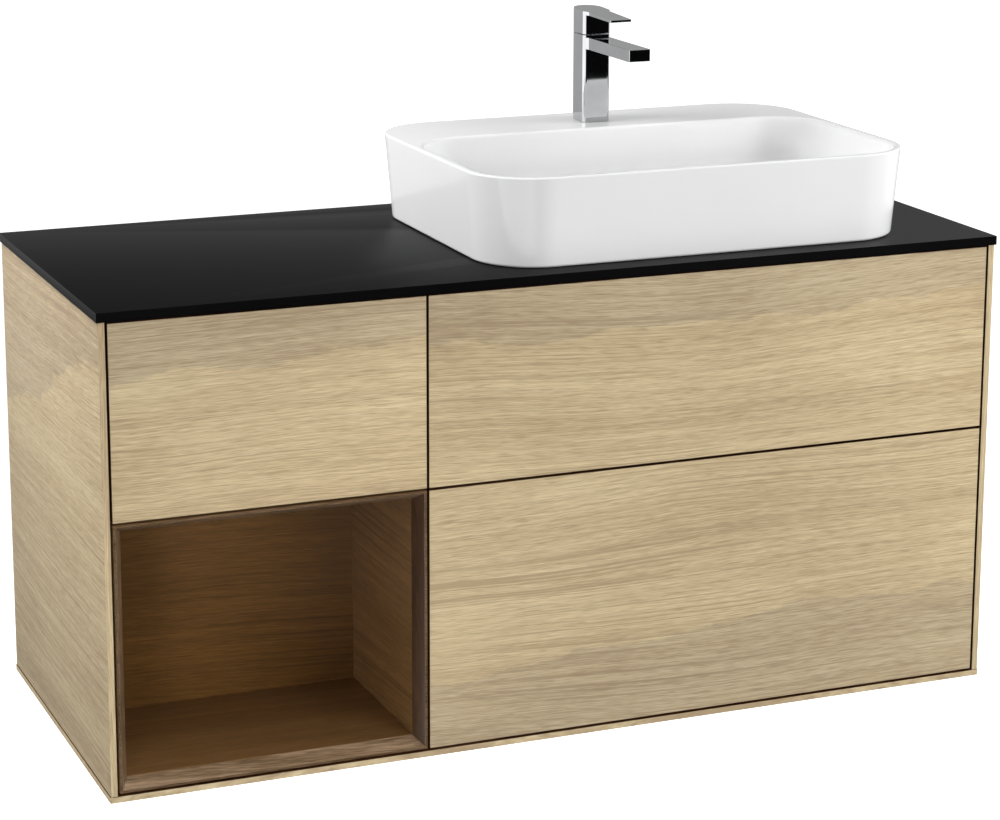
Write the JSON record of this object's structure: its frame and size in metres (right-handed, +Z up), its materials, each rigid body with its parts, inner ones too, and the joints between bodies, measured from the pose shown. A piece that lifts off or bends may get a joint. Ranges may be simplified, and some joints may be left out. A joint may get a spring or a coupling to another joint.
{
  "type": "wall-hung vanity unit with vessel basin",
  "caption": "Wall-hung vanity: pull-out drawers, an open shelf, a thin dark worktop, a rounded-rectangular vessel basin and a single-lever mixer.",
  "frame": {"origin": "centre of the rear hanging rail's wall face, where the unit meets the wall", "axes": "+X to the right along the unit as seen from the front, +Y horizontally into the wall, +Z up"},
  "size_m": [1.2, 0.501, 0.872],
  "materials": {
    "oak_veneer": "matt lacquered light oak veneer, grain across the fronts",
    "walnut_veneer": "satin dark walnut veneer",
    "black_glass": "satin black back-painted glass, opaque",
    "grey_board": "grey-brown melamine-faced board",
    "drawer_board": "anthracite lacquered board",
    "zinc_steel": "zinc plated",
    "glazed_ceramic": "gloss white glaze",
    "chrome": "polished chrome",
    "white_plastic": "moulded white plastic"
  },
  "bodies": {
    "root": {"countertop_plate": "black_glass", "side_panel_left": "oak_veneer", "side_panel_right": "oak_veneer", "bottom_panel": "oak_veneer", "centre_divider": "grey_board", "back_panel": "grey_board", "front_rail": "grey_board", "rear_rail": "grey_board", "lower_rail": "grey_board", "wall_bracket_left": "zinc_steel", "hanger_left": "zinc_steel", "wall_bracket_right": "zinc_steel", "hanger_right": "zinc_steel", "shelf_left": "walnut_veneer", "shelf_right": "walnut_veneer", "shelf_bottom": "walnut_veneer", "shelf_top": "walnut_veneer", "shelf_back": "walnut_veneer", "drawer_left_runner_fixed_left": "zinc_steel", "drawer_left_runner_fixed_right": "zinc_steel", "drawer_upper_runner_fixed_left": "zinc_steel", "drawer_upper_runner_fixed_right": "zinc_steel", "drawer_lower_runner_fixed_left": "zinc_steel", "drawer_lower_runner_fixed_right": "zinc_steel", "waste_body": "chrome", "waste_locknut": "white_plastic", "waste_tail": "white_plastic", "trap_bottle": "white_plastic", "trap_outlet": "white_plastic", "tap_cartridge": "white_plastic", "tap_aerator": "white_plastic", "tap_body": "chrome", "tap_shank": "zinc_steel", "tap_locknut": "zinc_steel", "basin": "glazed_ceramic"},
    "runners_left": {"drawer_left_runner_sliding_left": "zinc_steel", "drawer_left_runner_sliding_right": "zinc_steel"},
    "drawer_left": {"drawer_left_front": "oak_veneer", "drawer_left_side_left": "drawer_board", "drawer_left_side_right": "drawer_board", "drawer_left_bottom": "grey_board", "drawer_left_back": "drawer_board"},
    "runners_upper": {"drawer_upper_runner_sliding_left": "zinc_steel", "drawer_upper_runner_sliding_right": "zinc_steel"},
    "drawer_upper": {"drawer_upper_front": "oak_veneer", "drawer_upper_side_left": "drawer_board", "drawer_upper_side_right": "drawer_board", "drawer_upper_bottom": "grey_board", "drawer_upper_back": "drawer_board"},
    "runners_lower": {"drawer_lower_runner_sliding_left": "zinc_steel", "drawer_lower_runner_sliding_right": "zinc_steel"},
    "drawer_lower": {"drawer_lower_front": "oak_veneer", "drawer_lower_side_left": "drawer_board", "drawer_lower_side_right": "drawer_board", "drawer_lower_bottom": "grey_board", "drawer_lower_back": "drawer_board"},
    "waste_plug": {"waste_plug": "chrome"},
    "tap_spindle": {"tap_spindle": "zinc_steel"},
    "tap_lever": {"tap_lever": "chrome"}
  },
  "joints": [
    {"name": "drawer_left_slide", "type": "slide", "parent": "root", "child": "drawer_left", "axis": [0, -1, 0], "range_m": [-0.0025, 0.4]},
    {"name": "drawer_upper_slide", "type": "slide", "parent": "root", "child": "drawer_upper", "axis": [0, -1, 0], "range_m": [-0.0025, 0.4]},
    {"name": "drawer_lower_slide", "type": "slide", "parent": "root", "child": "drawer_lower", "axis": [0, -1, 0], "range_m": [-0.0025, 0.4]},
    {"name": "runners_left_slide", "type": "slide", "parent": "root", "child": "runners_left", "axis": [0, -1, 0], "range_m": [-0.00125, 0.2]},
    {"name": "runners_upper_slide", "type": "slide", "parent": "root", "child": "runners_upper", "axis": [0, -1, 0], "range_m": [-0.00125, 0.2]},
    {"name": "runners_lower_slide", "type": "slide", "parent": "root", "child": "runners_lower", "axis": [0, -1, 0], "range_m": [-0.00125, 0.2]},
    {"name": "waste_plug_slide", "type": "slide", "parent": "root", "child": "waste_plug", "axis": [0, 0, 1], "range_m": [0, 0.008]},
    {"name": "lever_swivel", "type": "hinge", "parent": "root", "child": "tap_spindle", "pos_m": [0.203, -0.0869, 0.2912], "axis": [0, 0, 1], "range_deg": [-45, 45]},
    {"name": "lever_tilt", "type": "hinge", "parent": "tap_spindle", "child": "tap_lever", "pos_m": [0.203, -0.0629, 0.2926], "axis": [-1, 0, 0], "range_deg": [0, 22]}
  ],
  "couplings": [
    {"joint": "runners_left_slide", "follows": "drawer_left_slide", "ratio": 0.5},
    {"joint": "runners_upper_slide", "follows": "drawer_upper_slide", "ratio": 0.5},
    {"joint": "runners_lower_slide", "follows": "drawer_lower_slide", "ratio": 0.5}
  ]
}
